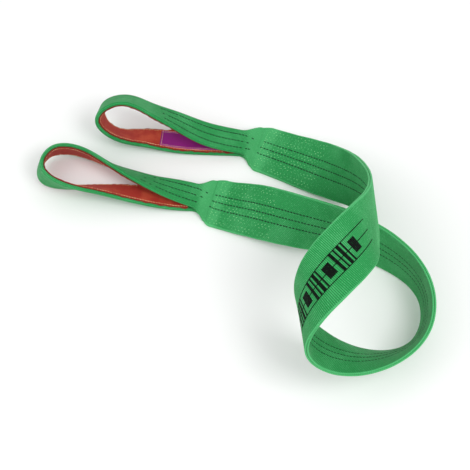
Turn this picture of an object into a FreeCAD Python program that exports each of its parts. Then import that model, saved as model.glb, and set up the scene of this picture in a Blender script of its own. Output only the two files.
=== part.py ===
import FreeCAD, Part
import math
import os

# Duplex flat web sling, eye-and-eye, lying on the floor.
# Units are millimetres. +Z is up, the floor is z = 0, and the origin is under the middle of
# the sling's box. The body is two plies of webbing face to face. Each end opens into an eye,
# where the webbing is folded to half width and lined. Every strip of webbing follows a ribbon:
# a smooth line through space with a direction across it and a face that turns with it.

# Webbing of the body
PLY_WIDTH = 90.0
PLY_THICKNESS = 3.0
PLY_GAP = 0.4

# Webbing of the eyes, folded lengthwise
EYE_WIDTH = 45.0
EYE_THICKNESS = 6.4
NECK_LENGTH = 45.0

# Red lining inside each eye
LINING_THICKNESS = 2.0
LINING_INSET = 2.0
LINING_GAP = 0.15
LINING_START = 40.0

# Blank rating label on the lower leg of the far eye
LABEL_LENGTH = 105.0
LABEL_WIDTH = 33.0
LABEL_THICKNESS = 0.6
LABEL_START = 65.0
LABEL_GAP = 0.1

# Sewing
THREAD_WIDTH = 1.4
THREAD_HEIGHT = 0.5
THREAD_GAP = 0.05
LINING_SEAM_INSET = 3.0
LABEL_SEAM_INSET = 2.5
SPLICE_LENGTH = 110.0
SPLICE_START = 9.0
SPLICE_ROWS = 6
SPLICE_MARGIN = 9.0

# The free end of the webbing, on the lower ply at the near splice
WEBBING_END_AT = 150.0
WEBBING_END_GAP = 1.0

# Clearance that lets an eye fold at its shoulder
FOLD_SLIT = 0.5
FOLD_DEPTH = 9.0
RELIEF_REACH = 60.0

# A strip's sides are made in spans of about this length, each through this many sections
SPAN_LENGTH = 60.0
SECTIONS_PER_SPAN = 4

# Middle of the sling's box in the drawing that the stations below belong to
MIDDLE = (-39.5, -171.2)

# The webbing that the stations below are drawn for
DRAWN_PLY_WIDTH = 90.0
DRAWN_EYE_WIDTH = 45.0
DRAWN_PLY_THICKNESS = 3.0

# Stations that the body follows, near shoulder to far shoulder. Each is a point and the
# direction across the webbing there. Two of them clear the ply that they pass over.
BODY_STATIONS = [
    ((-67, -82, 3.3), (0.4, 0.9, 0.0)),
    ((-42, -91, 3.3), (0.35, 0.9, 0.0)),
    ((0, -106, 21), (0.2, 0.9, 0.32)),
    ((76, -148, 56), (0.15, 0.7, 0.75)),
    ((157, -162, 47), (0.15, 0.4, 0.9)),
    ((230, -197, 46), (0.15, 0.15, 1.0)),
    ((287, -261, 51), (0.0, -0.05, 1.0)),
    ((276, -352, 45), (0.2, -0.05, 1.0)),
    ((197, -390, 53), (0.4, -0.6, 0.8)),
    ((118, -391, 80), (0.1, -0.95, 0.35)),
    ((64, -372, 143), (-0.05, -0.95, 0.3)),
    ((89, -344, 230), (0.6, -0.85, 0.35)),
    ((151, -286, 254), (0.85, -0.55, -0.45)),
    ((183, -222, 203), (0.15, -0.7, -0.75)),
    ((194, -163, 149 + 2 * PLY_THICKNESS), (0.15, -0.65, -0.7)),
    ((185, -105, 93 + 2 * PLY_THICKNESS), (0.15, -0.65, -0.75)),
    ((154, -51, 37), (-0.2, -0.75, -0.7)),
    ((87, -9, 10), (-0.45, -0.9, -0.15)),
    ((36, 15, 3.3), (-0.4, -0.9, 0.0)),
    ((12, 24, 3.3), (-0.45, -0.9, 0.0)),
]

# Stations of an eye, from its upper leg round the tip to its lower leg. The two ends are
# worked out from the shoulder.
NEAR_EYE_STATIONS = [
    ((-82, -79, 11), (0.25, 0.95, 0.0)),
    ((-113, -74, 21), (0.15, 1.05, -0.05)),
    ((-161, -60, 24), (0.3, 0.75, -0.55)),
    ((-204, -39, 22), (0.25, 0.6, -0.75)),
    ((-248, -17, 23), (0.2, 0.25, -0.95)),
    ((-288, 8, 23), (0.0, 0.25, -1.0)),
    ((-348, 10, 35), (-0.4, 0.2, -0.9)),
    ((-367, -52, 35), (-0.22, -0.15, -1.03)),
    ((-306, -72, 32), (0.0, 0.45, -0.95)),
    ((-260, -71, 25), (-0.2, 0.65, -0.75)),
    ((-211, -73, 16), (0.0, 0.9, -0.5)),
    ((-163, -77, 9), (0.05, 0.95, -0.25)),
    ((-114, -78, 4), (0.1, 1.0, 0.0)),
    ((-82, -77, 2.5), (0.25, 1.0, 0.0)),
]
FAR_EYE_STATIONS = [
    ((-4, 29, 10), (0.1, 1.0, 0.0)),
    ((-35, 27, 22), (0.05, 0.95, 0.1)),
    ((-83, 34, 32), (0.25, 1.0, -0.05)),
    ((-127, 47, 55), (0.05, 0.95, -0.3)),
    ((-170, 54, 77), (-0.1, 0.85, -0.55)),
    ((-215, 73, 97), (0.2, 0.7, -0.75)),
    ((-275, 60, 64), (0.22, 1.0, -0.3)),
    ((-238, 35, 15), (-0.25, 0.75, -0.65)),
    ((-185, 40, 12), (0.05, 0.95, -0.35)),
    ((-137, 33, 6), (0.1, 1.0, -0.1)),
    ((-86, 32, 5), (0.0, 1.0, 0.05)),
    ((-37, 30, 5), (0.0, 1.0, 0.0)),
    ((-3, 29.5, 2.7), (0.15, 1.05, 0.0)),
]

CUBIC = 3
TABLE_STEPS = 800


class Ribbon:
    """A cubic B-spline line with a direction across it, read by distance along the line."""

    def __init__(self, points, across):
        self.points = points
        self.across = across
        spans = len(points) - CUBIC
        inner = [step / spans for step in range(1, spans)]
        self.knots = [0.0] * (CUBIC + 1) + inner + [1.0] * (CUBIC + 1)
        self.table = self._distances()
        self.length = self.table[-1]

    def _blend(self, controls, u):
        """Read the spline through controls at u by de Boor's rule."""
        span = CUBIC
        while span < len(controls) - 1 and u >= self.knots[span + 1]:
            span += 1
        row = [controls[span - CUBIC + k] for k in range(CUBIC + 1)]
        for level in range(1, CUBIC + 1):
            for k in range(CUBIC, level - 1, -1):
                low = self.knots[span - CUBIC + k]
                high = self.knots[span + 1 + k - level]
                share = (u - low) / (high - low)
                row[k] = row[k - 1] * (1.0 - share) + row[k] * share
        return row[CUBIC]

    def _distances(self):
        """Distance along the line at equal steps of the spline's own parameter."""
        table = [0.0]
        before = self._blend(self.points, 0.0)
        for step in range(1, TABLE_STEPS + 1):
            here = self._blend(self.points, step / TABLE_STEPS)
            table.append(table[-1] + (here - before).Length)
            before = here
        return table

    def _parameter(self, distance):
        """Spline parameter at a distance along the line."""
        distance = min(max(distance, 0.0), self.length)
        low, high = 0, TABLE_STEPS
        while high - low > 1:
            middle = (low + high) // 2
            if self.table[middle] <= distance:
                low = middle
            else:
                high = middle
        share = (distance - self.table[low]) / (self.table[high] - self.table[low])
        return (low + share) / TABLE_STEPS

    def frame(self, distance):
        """Centre, direction along, direction across and face normal at a distance."""
        u = self._parameter(distance)
        small = 0.5 / TABLE_STEPS
        centre = self._blend(self.points, u)
        ahead = self._blend(self.points, min(u + small, 1.0))
        behind = self._blend(self.points, max(u - small, 0.0))
        along = (ahead - behind).normalize()
        across = self._blend(self.across, u)
        across = (across - along * across.dot(along)).normalize()
        return centre, along, across, along.cross(across)

    def place(self, distance, sideways, lift):
        """Point at a distance along, moved sideways across the face and lifted off it."""
        centre, _, across, normal = self.frame(distance)
        return centre + across * sideways + normal * lift


def drawn(station, extra_width):
    """Move a station's point from the drawing to the sling's own frame.

    Webbing that is wider or thicker than it was drawn rises by half of the extra width where
    it stands on edge, and by the extra thickness where it lies flat, so it stays off the floor.
    """
    point, across = station
    across = FreeCAD.Vector(*across)
    steep = abs(across.z) / across.Length
    rise = extra_width / 2.0 * steep + (PLY_THICKNESS - DRAWN_PLY_THICKNESS) * (1.0 - steep)
    return FreeCAD.Vector(point[0] - MIDDLE[0], point[1] - MIDDLE[1], point[2] + rise)


def strip(ribbon, start, end, profile):
    """Build a solid along a ribbon. profile(distance) gives left, right, bottom and top.

    Each corner of the section runs along a smooth rail. The rails are cut into spans, each side
    is ruled between two rails over every span, and flat caps close the ends.
    """
    spans = max(1, round((end - start) / SPAN_LENGTH))
    count = spans * SECTIONS_PER_SPAN + 1
    distances = [start + (end - start) * step / (count - 1) for step in range(count)]
    rails = [[], [], [], []]
    for distance in distances:
        left, right, bottom, top = profile(distance)
        corners = [(left, bottom), (right, bottom), (right, top), (left, top)]
        for rail, corner in zip(rails, corners):
            rail.append(ribbon.place(distance, *corner))
    curves = []
    for rail in rails:
        curve = Part.BSplineCurve()
        curve.interpolate(Points=rail, Parameters=distances)
        curves.append(curve)
    faces = []
    breaks = distances[::SECTIONS_PER_SPAN]
    for low, high in zip(breaks, breaks[1:]):
        edges = [curve.toShape(low, high) for curve in curves]
        faces += [Part.makeRuledSurface(edges[k - 1], edges[k], 1) for k in range(4)]
    for place in (0, -1):
        corners = [rail[place] for rail in rails]
        faces.append(Part.Face(Part.makePolygon(corners + corners[:1])))
    shell = Part.makeShell(faces)
    shell.sewShape()
    solid = Part.makeSolid(shell)
    if solid.Volume < 0:
        solid.reverse()
    return solid


def band(left, right, bottom, top):
    """Profile of a strip whose section stays the same."""
    return lambda distance: (left, right, bottom, top)


def eye_ribbon(stations, shoulder, lift, side):
    """Ribbon of an eye whose two ends meet the plies at a shoulder frame of the body."""
    centre, _, across, normal = shoulder
    across = across * side
    extra = EYE_WIDTH - DRAWN_EYE_WIDTH
    points = [drawn(station, extra) for station in stations]
    points = [centre + normal * lift] + points + [centre - normal * lift]
    widths = [across] + [FreeCAD.Vector(*w) for _, w in stations] + [across]
    # The ribbon's own normal has to point out of the eye, so the line's sense sets the sign.
    return Ribbon(points, [w * -1.0 for w in widths])


def eye_profile(ribbon):
    """Section of the eye's webbing: a full-width ply at the shoulder, folded past the neck."""

    def profile(distance):
        from_shoulder = min(distance, ribbon.length - distance)
        share = min(from_shoulder / NECK_LENGTH, 1.0)
        eased = share * share * (3.0 - 2.0 * share)
        half_width = (PLY_WIDTH + (EYE_WIDTH - PLY_WIDTH) * eased) / 2.0
        half_thick = (PLY_THICKNESS + (EYE_THICKNESS - PLY_THICKNESS) * eased) / 2.0
        return -half_width, half_width, -half_thick, half_thick

    return profile


def fold_relief(shoulder, body_side):
    """Space cut from a shoulder so that the eye folds without touching the plies.

    The plies lose a wedge above and below the fold line. The eye loses the same wedges and
    all that lies on the body's side of the line, which body_side gives as +1 or -1 along.
    """
    centre, along, across, normal = shoulder
    half = FOLD_SLIT / 2.0
    wide = half + FOLD_DEPTH
    reach = PLY_WIDTH / 2.0 + 10.0
    wedges = [
        (-wide, FOLD_DEPTH), (wide, FOLD_DEPTH), (half, 0.0),
        (wide, -FOLD_DEPTH), (-wide, -FOLD_DEPTH), (-half, 0.0),
    ]
    block = [
        (-wide, FOLD_DEPTH), (RELIEF_REACH, FOLD_DEPTH),
        (RELIEF_REACH, -FOLD_DEPTH), (-wide, -FOLD_DEPTH), (-half, 0.0),
    ]
    cutters = []
    for outline in (wedges, block):
        corners = [centre - across * reach + along * (x * body_side) + normal * z for x, z in outline]
        face = Part.Face(Part.makePolygon(corners + corners[:1]))
        cutters.append(face.extrude(across * (2.0 * reach)))
    return cutters


def thread_row(ribbon, start, end, sideways, surface):
    """One row of sewing, lying on a face that is at height surface on its ribbon."""
    half = THREAD_WIDTH / 2.0
    near = surface + math.copysign(THREAD_GAP, surface)
    far = near + math.copysign(THREAD_HEIGHT, surface)
    return strip(ribbon, start, end, band(sideways - half, sideways + half, *sorted((near, far))))


def lining_parts(ribbon):
    """Lining of an eye and the two rows of sewing along its edges."""
    top = -EYE_THICKNESS / 2.0 - LINING_GAP
    bottom = top - LINING_THICKNESS
    half = EYE_WIDTH / 2.0 - LINING_INSET
    end = ribbon.length - LINING_START
    lining = strip(ribbon, LINING_START, end, band(-half, half, bottom, top))
    rows = [
        thread_row(ribbon, LINING_START, end, side * (half - LINING_SEAM_INSET), bottom)
        for side in (-1.0, 1.0)
    ]
    return lining, Part.makeCompound(rows), bottom


def label_parts(ribbon, surface):
    """Label on a lining whose face is at height surface, and the sewing round its edge."""
    top = surface - LABEL_GAP
    bottom = top - LABEL_THICKNESS
    end = ribbon.length - LABEL_START
    start = end - LABEL_LENGTH
    half = LABEL_WIDTH / 2.0
    label = strip(ribbon, start, end, band(-half, half, bottom, top))
    row = half - LABEL_SEAM_INSET
    first = start + LABEL_SEAM_INSET
    last = end - LABEL_SEAM_INSET
    rows = [thread_row(ribbon, first, last, side * row, bottom) for side in (-1.0, 1.0)]
    return label, Part.makeCompound(rows)


def splice_rows(ribbon, start, end):
    """Rows of sewing through both plies beside a shoulder, as ridges on the upper face."""
    face = PLY_GAP / 2.0 + PLY_THICKNESS
    reach = PLY_WIDTH / 2.0 - SPLICE_MARGIN
    rows = []
    for row in range(SPLICE_ROWS):
        sideways = -reach + 2.0 * reach * row / (SPLICE_ROWS - 1)
        rows.append(thread_row(ribbon, start, end, sideways, face))
    return Part.makeCompound(rows)


body_points = [drawn(station, PLY_WIDTH - DRAWN_PLY_WIDTH) for station in BODY_STATIONS]
body = Ribbon(body_points, [FreeCAD.Vector(*w) for _, w in BODY_STATIONS])
half_ply = PLY_WIDTH / 2.0
inner = PLY_GAP / 2.0
outer = inner + PLY_THICKNESS
ply_middle = (inner + outer) / 2.0
near_shoulder = body.frame(0.0)
far_shoulder = body.frame(body.length)

near_eye = eye_ribbon(NEAR_EYE_STATIONS, near_shoulder, ply_middle, 1.0)
far_eye = eye_ribbon(FAR_EYE_STATIONS, far_shoulder, ply_middle, -1.0)
for name, ribbon in (("body", body), ("near_eye", near_eye), ("far_eye", far_eye)):
    print(name, "length", round(ribbon.length, 1), "normal at start", ribbon.frame(20.0)[3])

pieces = {}

near_ply_relief, near_eye_relief = fold_relief(near_shoulder, 1.0)
far_ply_relief, far_eye_relief = fold_relief(far_shoulder, -1.0)

upper_ply = strip(body, 0.0, body.length, band(-half_ply, half_ply, inner, outer))
pieces["upper_ply"] = upper_ply.cut([near_ply_relief, far_ply_relief])
near_end = strip(body, 0.0, WEBBING_END_AT, band(-half_ply, half_ply, -outer, -inner))
pieces["near_webbing_end"] = near_end.cut(near_ply_relief)
lower_start = WEBBING_END_AT + WEBBING_END_GAP
lower_ply = strip(body, lower_start, body.length, band(-half_ply, half_ply, -outer, -inner))
pieces["lower_ply"] = lower_ply.cut(far_ply_relief)

splice_spans = {
    "near": (SPLICE_START, SPLICE_START + SPLICE_LENGTH),
    "far": (body.length - SPLICE_START - SPLICE_LENGTH, body.length - SPLICE_START),
}
for end, (start, stop) in splice_spans.items():
    pieces[end + "_splice_sewing"] = splice_rows(body, start, stop)

for end, ribbon, cutter in (("near", near_eye, near_eye_relief), ("far", far_eye, far_eye_relief)):
    web = strip(ribbon, 0.0, ribbon.length, eye_profile(ribbon))
    pieces[end + "_eye_web"] = web.cut(cutter)
    lining, seam, lining_face = lining_parts(ribbon)
    pieces[end + "_eye_lining"] = lining
    pieces[end + "_lining_seam"] = seam

pieces["rating_label"], pieces["label_stitches"] = label_parts(far_eye, lining_face)

os.makedirs("parts", exist_ok=True)
box = FreeCAD.BoundBox()
for name, shape in pieces.items():
    shape.exportStep("parts/" + name + ".step")
    box.add(shape.BoundBox)
    print(name, "solids", len(shape.Solids), "valid", shape.isValid(), "volume", round(shape.Volume),
          "low", round(shape.BoundBox.ZMin, 2))
print("box", box)
print("middle off by", round(box.Center.x, 1), round(box.Center.y, 1), "lowest", round(box.ZMin, 2))
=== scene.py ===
"""Looks of a duplex flat web sling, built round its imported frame.

The sling is one closed course of webbing: along the upper ply from the near shoulder to the far
one, round the far eye, back along the lower ply and round the near eye. Every piece is a surface
carried along that course, so webbing, linings, sewing, tracer yarns and ink meet as they are made.
Lengths are metres, and the drawing's stations are millimetres.
"""

from __future__ import annotations

import logging
import math
from collections.abc import Callable
from dataclasses import dataclass
from enum import Enum

import bpy
import numpy as np
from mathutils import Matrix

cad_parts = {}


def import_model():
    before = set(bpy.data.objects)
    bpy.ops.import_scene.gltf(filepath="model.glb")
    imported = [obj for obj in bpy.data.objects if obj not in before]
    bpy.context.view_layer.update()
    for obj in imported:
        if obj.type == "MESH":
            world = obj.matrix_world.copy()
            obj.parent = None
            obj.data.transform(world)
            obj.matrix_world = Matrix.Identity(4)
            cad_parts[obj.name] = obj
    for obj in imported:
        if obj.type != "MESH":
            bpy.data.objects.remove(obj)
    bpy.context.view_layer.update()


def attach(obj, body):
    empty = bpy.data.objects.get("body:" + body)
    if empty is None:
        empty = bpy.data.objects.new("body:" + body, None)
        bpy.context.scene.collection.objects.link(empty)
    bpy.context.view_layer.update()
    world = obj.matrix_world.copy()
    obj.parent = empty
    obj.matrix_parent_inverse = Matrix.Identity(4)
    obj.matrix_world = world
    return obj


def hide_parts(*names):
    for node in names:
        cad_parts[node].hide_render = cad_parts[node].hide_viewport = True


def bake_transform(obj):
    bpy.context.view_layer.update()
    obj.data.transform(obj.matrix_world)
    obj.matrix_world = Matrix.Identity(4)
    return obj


LOG = logging.getLogger("web_sling")
MM = 0.001
Surface = Callable[[np.ndarray, np.ndarray, np.ndarray], np.ndarray]

# The drawing: a point and the direction across the webbing at each station, in millimetres.
MIDDLE = (-39.5, -171.2)
BODY_STATIONS = (
    ((-67, -82, 3.3), (0.4, 0.9, 0.0)),
    ((-42, -91, 3.3), (0.35, 0.9, 0.0)),
    ((0, -106, 21), (0.2, 0.9, 0.32)),
    ((76, -148, 56), (0.15, 0.7, 0.75)),
    ((157, -162, 47), (0.15, 0.4, 0.9)),
    ((230, -197, 46), (0.15, 0.15, 1.0)),
    ((287, -261, 51), (0.0, -0.05, 1.0)),
    ((276, -352, 45), (0.2, -0.05, 1.0)),
    ((197, -390, 53), (0.4, -0.6, 0.8)),
    ((118, -391, 80), (0.1, -0.95, 0.35)),
    ((64, -372, 143), (-0.05, -0.95, 0.3)),
    ((89, -344, 230), (0.6, -0.85, 0.35)),
    ((151, -286, 254), (0.85, -0.55, -0.45)),
    ((183, -222, 203), (0.15, -0.7, -0.75)),
    ((194, -163, 155), (0.15, -0.65, -0.7)),
    ((185, -105, 99), (0.15, -0.65, -0.75)),
    ((154, -51, 37), (-0.2, -0.75, -0.7)),
    ((87, -9, 10), (-0.45, -0.9, -0.15)),
    ((36, 15, 3.3), (-0.4, -0.9, 0.0)),
    ((12, 24, 3.3), (-0.45, -0.9, 0.0)),
)
NEAR_EYE_STATIONS = (
    ((-82, -79, 11), (0.25, 0.95, 0.0)),
    ((-113, -74, 21), (0.15, 1.05, -0.05)),
    ((-161, -60, 24), (0.3, 0.75, -0.55)),
    ((-204, -39, 22), (0.25, 0.6, -0.75)),
    ((-248, -17, 23), (0.2, 0.25, -0.95)),
    ((-288, 8, 23), (0.0, 0.25, -1.0)),
    ((-348, 10, 35), (-0.4, 0.2, -0.9)),
    ((-367, -52, 35), (-0.22, -0.15, -1.03)),
    ((-306, -72, 32), (0.0, 0.45, -0.95)),
    ((-260, -71, 25), (-0.2, 0.65, -0.75)),
    ((-211, -73, 16), (0.0, 0.9, -0.5)),
    ((-163, -77, 9), (0.05, 0.95, -0.25)),
    ((-114, -78, 4), (0.1, 1.0, 0.0)),
    ((-82, -77, 2.5), (0.25, 1.0, 0.0)),
)
FAR_EYE_STATIONS = (
    ((-4, 29, 10), (0.1, 1.0, 0.0)),
    ((-35, 27, 22), (0.05, 0.95, 0.1)),
    ((-83, 34, 32), (0.25, 1.0, -0.05)),
    ((-127, 47, 55), (0.05, 0.95, -0.3)),
    ((-170, 54, 77), (-0.1, 0.85, -0.55)),
    ((-215, 73, 97), (0.2, 0.7, -0.75)),
    ((-275, 60, 64), (0.22, 1.0, -0.3)),
    ((-238, 35, 15), (-0.25, 0.75, -0.65)),
    ((-185, 40, 12), (0.05, 0.95, -0.35)),
    ((-137, 33, 6), (0.1, 1.0, -0.1)),
    ((-86, 32, 5), (0.0, 1.0, 0.05)),
    ((-37, 30, 5), (0.0, 1.0, 0.0)),
    ((-3, 29.5, 2.7), (0.15, 1.05, 0.0)),
)

# Sizes that the pieces share
PLY_WIDTH = 0.090
PLY_THICKNESS = 0.003
PLY_GAP = 0.0004
NECK_START = -0.012
NECK_END = 0.032
FOLD_RADIUS = 0.0017
FOLDED_FLAT_HALF = 0.0199
RIB_PITCH = 0.0028
TRACER_SPACING = 0.0129
LINING_START = 0.040
LINING_THICKNESS = 0.0020
LINING_GAP = 0.00015
LINING_HALF_WIDTH = 0.0205
EYE_FACE = FOLD_RADIUS + PLY_THICKNESS / 2.0
GROOVE_DEPTH = 0.0003
GROOVE_HALF = 0.0009
TRACER_SUNK = 0.0001
WIDTH_WANDER = 0.005

# Step for reading a surface's directions, the angle that sets one stitch's tone apart from the
# next one's, and seeds of the small unevenness in each kind of sewing
PROBE = 0.0004
TONE_STEP = 12.9898
TRACER_SEED = 7
SPLICE_SEED = 3
SEAM_SEED = 11


class Span(Enum):
    """The four stretches of the closed course, in order."""

    UPPER_PLY = 0
    FAR_EYE = 1
    LOWER_PLY = 2
    NEAR_EYE = 3


def rows_of(pattern: np.ndarray) -> np.ndarray:
    """Scale each row of a list of vectors to length one."""
    return pattern / np.linalg.norm(pattern, axis=-1, keepdims=True)


def eased(share: np.ndarray) -> np.ndarray:
    """Rise smoothly from 0 to 1 as share does, and stay level beyond."""
    share = np.clip(share, 0.0, 1.0)
    return share * share * (3.0 - 2.0 * share)


def ripple(distance: np.ndarray, lengths: tuple[float, ...], shift: float) -> np.ndarray:
    """Give an uneven wave of about -1 to 1: the mean of sines of the stated wavelengths.

    Args:
        distance: distances along the course.
        lengths: wavelengths of the sines.
        shift: phase that makes one wave differ from another.

    Returns:
        The wave's height at each distance.
    """
    waves = [np.sin(2 * math.pi * distance / size + shift * (k + 1.7)) for k, size in enumerate(lengths)]
    return sum(waves) / len(waves) ** 0.5


class Ribbon:
    """A cubic B-spline line with a direction across it, sampled at equal distances."""

    DEGREE = 3
    FINE_SAMPLES = 6000

    def __init__(self, points: np.ndarray, widths: np.ndarray) -> None:
        """Keep the spline's control points and width vectors."""
        self.points = points
        self.widths = widths

    def _basis(self, u: np.ndarray) -> np.ndarray:
        """Work out the blending weights of every control point at u by the Cox-de Boor rule."""
        degree = self.DEGREE
        inner = np.linspace(0.0, 1.0, len(self.points) - degree + 1)
        knots = np.concatenate([np.zeros(degree), inner, np.ones(degree)])
        u = np.clip(u, 0.0, 1.0 - 1e-9)[:, None]
        weights = ((knots[:-1] <= u) & (u < knots[1:])).astype(float)
        for level in range(1, degree + 1):
            rise = knots[level:-1] - knots[: -level - 1]
            fall = knots[level + 1 :] - knots[1:-level]
            rising = np.where(rise > 0, (u - knots[: -level - 1]) / np.where(rise > 0, rise, 1), 0)
            falling = np.where(fall > 0, (knots[level + 1 :] - u) / np.where(fall > 0, fall, 1), 0)
            weights = rising * weights[:, :-1] + falling * weights[:, 1:]
        return weights

    def frames(self, pitch: float) -> tuple[np.ndarray, np.ndarray, np.ndarray, np.ndarray]:
        """Read the ribbon at equal distances.

        Args:
            pitch: distance wanted between two samples.

        Returns:
            Centres, directions along, directions across and face normals, the normal being
            along crossed with across.
        """
        fine = np.linspace(0.0, 1.0, self.FINE_SAMPLES)
        line = self._basis(fine) @ self.points
        distance = np.concatenate([[0.0], np.cumsum(np.linalg.norm(np.diff(line, axis=0), axis=1))])
        count = max(8, round(distance[-1] / pitch)) + 1
        u = np.interp(np.linspace(0.0, distance[-1], count), distance, fine)
        weights = self._basis(u)
        centre = weights @ self.points
        along = rows_of(np.gradient(centre, axis=0))
        across = weights @ self.widths
        across = rows_of(across - along * np.sum(across * along, axis=1, keepdims=True))
        return centre, along, across, np.cross(along, across)


def stations(drawn: tuple) -> tuple[np.ndarray, np.ndarray]:
    """Turn stations of the drawing into points in metres, about the sling's middle, and widths."""
    points = np.array([point for point, _ in drawn], float)
    points[:, :2] -= MIDDLE
    return points * MM, np.array([width for _, width in drawn], float)


class Course:
    """The closed line of webbing with a frame at every distance along it.

    PITCH is the distance between samples. Where plies and eyes meet, a bell curve CREASE samples
    wide blurs the line, over about CREASE_REACH metres to each side.
    """

    PITCH = 0.001
    CREASE = 6.0
    CREASE_REACH = 0.016

    def __init__(self) -> None:
        """Join the two plies and the two eyes, and ease the course where they meet."""
        lift = (PLY_GAP + PLY_THICKNESS) / 2.0
        body = Ribbon(*stations(BODY_STATIONS))
        centre, along, across, normal = body.frames(self.PITCH)
        self.shoulders = {
            Span.NEAR_EYE: (centre[0], -along[0]),
            Span.FAR_EYE: (centre[-1], along[-1]),
        }
        near = self._eye(NEAR_EYE_STATIONS, centre[0], across[0], normal[0] * lift)
        far = self._eye(FAR_EYE_STATIONS, centre[-1], -across[-1], normal[-1] * lift)
        runs = [
            (centre + normal * lift, normal),
            (far[0], far[3]),
            ((centre - normal * lift)[::-1], -normal[::-1]),
            (near[0][::-1], near[3][::-1]),
        ]
        points = np.concatenate([run[0][:-1] for run in runs])
        normals = np.concatenate([run[1][:-1] for run in runs])
        joints = np.cumsum([0] + [len(run[0]) - 1 for run in runs])
        points, normals = self._eased(points, joints), self._eased(normals, joints)
        closed = np.concatenate([points, points[:1]])
        steps = np.linalg.norm(np.diff(closed, axis=0), axis=1)
        self.distance = np.concatenate([[0.0], np.cumsum(steps)])
        self.length = float(self.distance[-1])
        self.joints = self.distance[joints]
        along = rows_of(np.roll(points, -1, axis=0) - np.roll(points, 1, axis=0))
        across = rows_of(np.cross(normals, along))
        table = np.hstack([points, across, np.cross(along, across)])
        self.table = np.concatenate([table, table[:1]])

    def _eye(self, drawn: tuple, centre: np.ndarray, across: np.ndarray, lift: np.ndarray) -> tuple:
        """Sample an eye whose two ends meet the plies above and below a shoulder's centre."""
        points, widths = stations(drawn)
        points = np.vstack([centre + lift, points, centre - lift])
        widths = np.vstack([across, widths, across])
        return Ribbon(points, -widths).frames(self.PITCH)

    def _eased(self, values: np.ndarray, joints: np.ndarray) -> np.ndarray:
        """Blur values near the joints only, with a bell curve of CREASE samples."""
        reach = int(4 * self.CREASE)
        bell = np.exp(-0.5 * (np.arange(-reach, reach + 1) / self.CREASE) ** 2)
        bell /= bell.sum()
        padded = np.concatenate([values[-reach:], values, values[:reach]])
        blurred = np.stack([np.convolve(padded[:, k], bell, "valid") for k in range(3)], axis=1)
        index = np.arange(len(values))[:, None]
        away = np.abs(index - joints[None, :]).min(axis=1) * self.PITCH
        share = np.exp(-((away / self.CREASE_REACH) ** 2))[:, None]
        return values * (1 - share) + blurred * share

    def span(self, span: Span) -> tuple[float, float]:
        """Give the distances at which a span starts and ends."""
        return float(self.joints[span.value]), float(self.joints[span.value + 1])

    def frame(self, distance: np.ndarray) -> tuple[np.ndarray, np.ndarray, np.ndarray]:
        """Read centre, direction across and outward normal at distances of any shape."""
        where = np.mod(distance, self.length)
        found = np.stack([np.interp(where, self.distance, self.table[:, k]) for k in range(9)], axis=-1)
        return found[..., :3], rows_of(found[..., 3:6]), rows_of(found[..., 6:])

    def inside_eye(self, distance: np.ndarray) -> np.ndarray:
        """Give the distance past the nearest shoulder into an eye, negative on a ply."""
        inside = np.full(np.shape(distance), -self.length)
        for span in (Span.FAR_EYE, Span.NEAR_EYE):
            start, end = self.span(span)
            for where in (distance, distance + self.length, distance - self.length):
                inside = np.maximum(inside, np.minimum(where - start, end - where))
        return inside

    def shoulder_distance(self, distance: np.ndarray) -> np.ndarray:
        """Give the distance along the course from the nearest shoulder."""
        return np.abs(np.asarray(distance)[..., None] - self.joints).min(axis=-1)

    def place(self, distance: np.ndarray, sideways: np.ndarray, lift: np.ndarray) -> np.ndarray:
        """Give points beside the course: the centre, plus sideways across, plus lift outwards."""
        centre, across, normal = self.frame(distance)
        return centre + across * np.asarray(sideways)[..., None] + normal * np.asarray(lift)[..., None]

    def webbing(self, distance: np.ndarray, flat: np.ndarray, lift: np.ndarray) -> np.ndarray:
        """Give points on the webbing, which folds under along both sides of an eye.

        The cross-section's middle is flat. Beyond the flat part it turns through half a circle
        and runs back under the middle as a flap. The flat part narrows from just before a
        shoulder, and the flap grows from the shoulder on.

        Args:
            distance: distances along the course.
            flat: positions across the webbing as woven, from its middle.
            lift: heights above the middle of its thickness, positive outwards.

        Returns:
            Points, in an array with the inputs' common shape and three columns.
        """
        inside = self.inside_eye(distance)
        fold = eased(inside / NECK_END)
        whole, folded = PLY_WIDTH / 2.0, PLY_WIDTH / 2.0 - FOLDED_FLAT_HALF
        flat_half = whole - folded * eased((inside - NECK_START) / (NECK_END - NECK_START))
        flat = flat * (flat_half + folded * fold) / whole
        beyond = np.maximum(np.abs(flat) - flat_half, 0.0)
        turn = np.minimum(beyond / FOLD_RADIUS, math.pi)
        back = np.maximum(beyond - math.pi * FOLD_RADIUS, 0.0)
        side = np.sign(flat)
        sideways = np.minimum(np.abs(flat), flat_half) + FOLD_RADIUS * np.sin(turn) - back
        drop = FOLD_RADIUS * (1.0 - np.cos(turn))
        outward = side * (sideways + np.sin(turn) * lift)
        return self.place(distance, outward, FOLD_RADIUS * fold - drop + np.cos(turn) * lift)


# ---------------------------------------------------------------- meshes


def make_piece(
    name: str, points: np.ndarray, faces: list, marks: dict[str, np.ndarray]
) -> bpy.types.Object:
    """Make a smooth-shaded mesh object at the origin.

    Args:
        name: the piece's name.
        points: an array of points with three columns.
        faces: lists of point numbers, each running anticlockwise seen from outside.
        marks: named values that materials read, spread over the points where they are fewer.

    Returns:
        The new object, linked to the scene.
    """
    mesh = bpy.data.meshes.new(name)
    mesh.from_pydata(points.reshape(-1, 3).tolist(), [], faces)
    for mark, values in marks.items():
        layer = mesh.attributes.new(mark, "FLOAT", "POINT")
        every = values if values.ndim == 1 else np.broadcast_to(values, points.shape[:2])
        layer.data.foreach_set("value", np.ascontiguousarray(every, np.float32).ravel())
    mesh.shade_smooth()
    piece = bpy.data.objects.new(name, mesh)
    bpy.context.scene.collection.objects.link(piece)
    return piece


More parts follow.
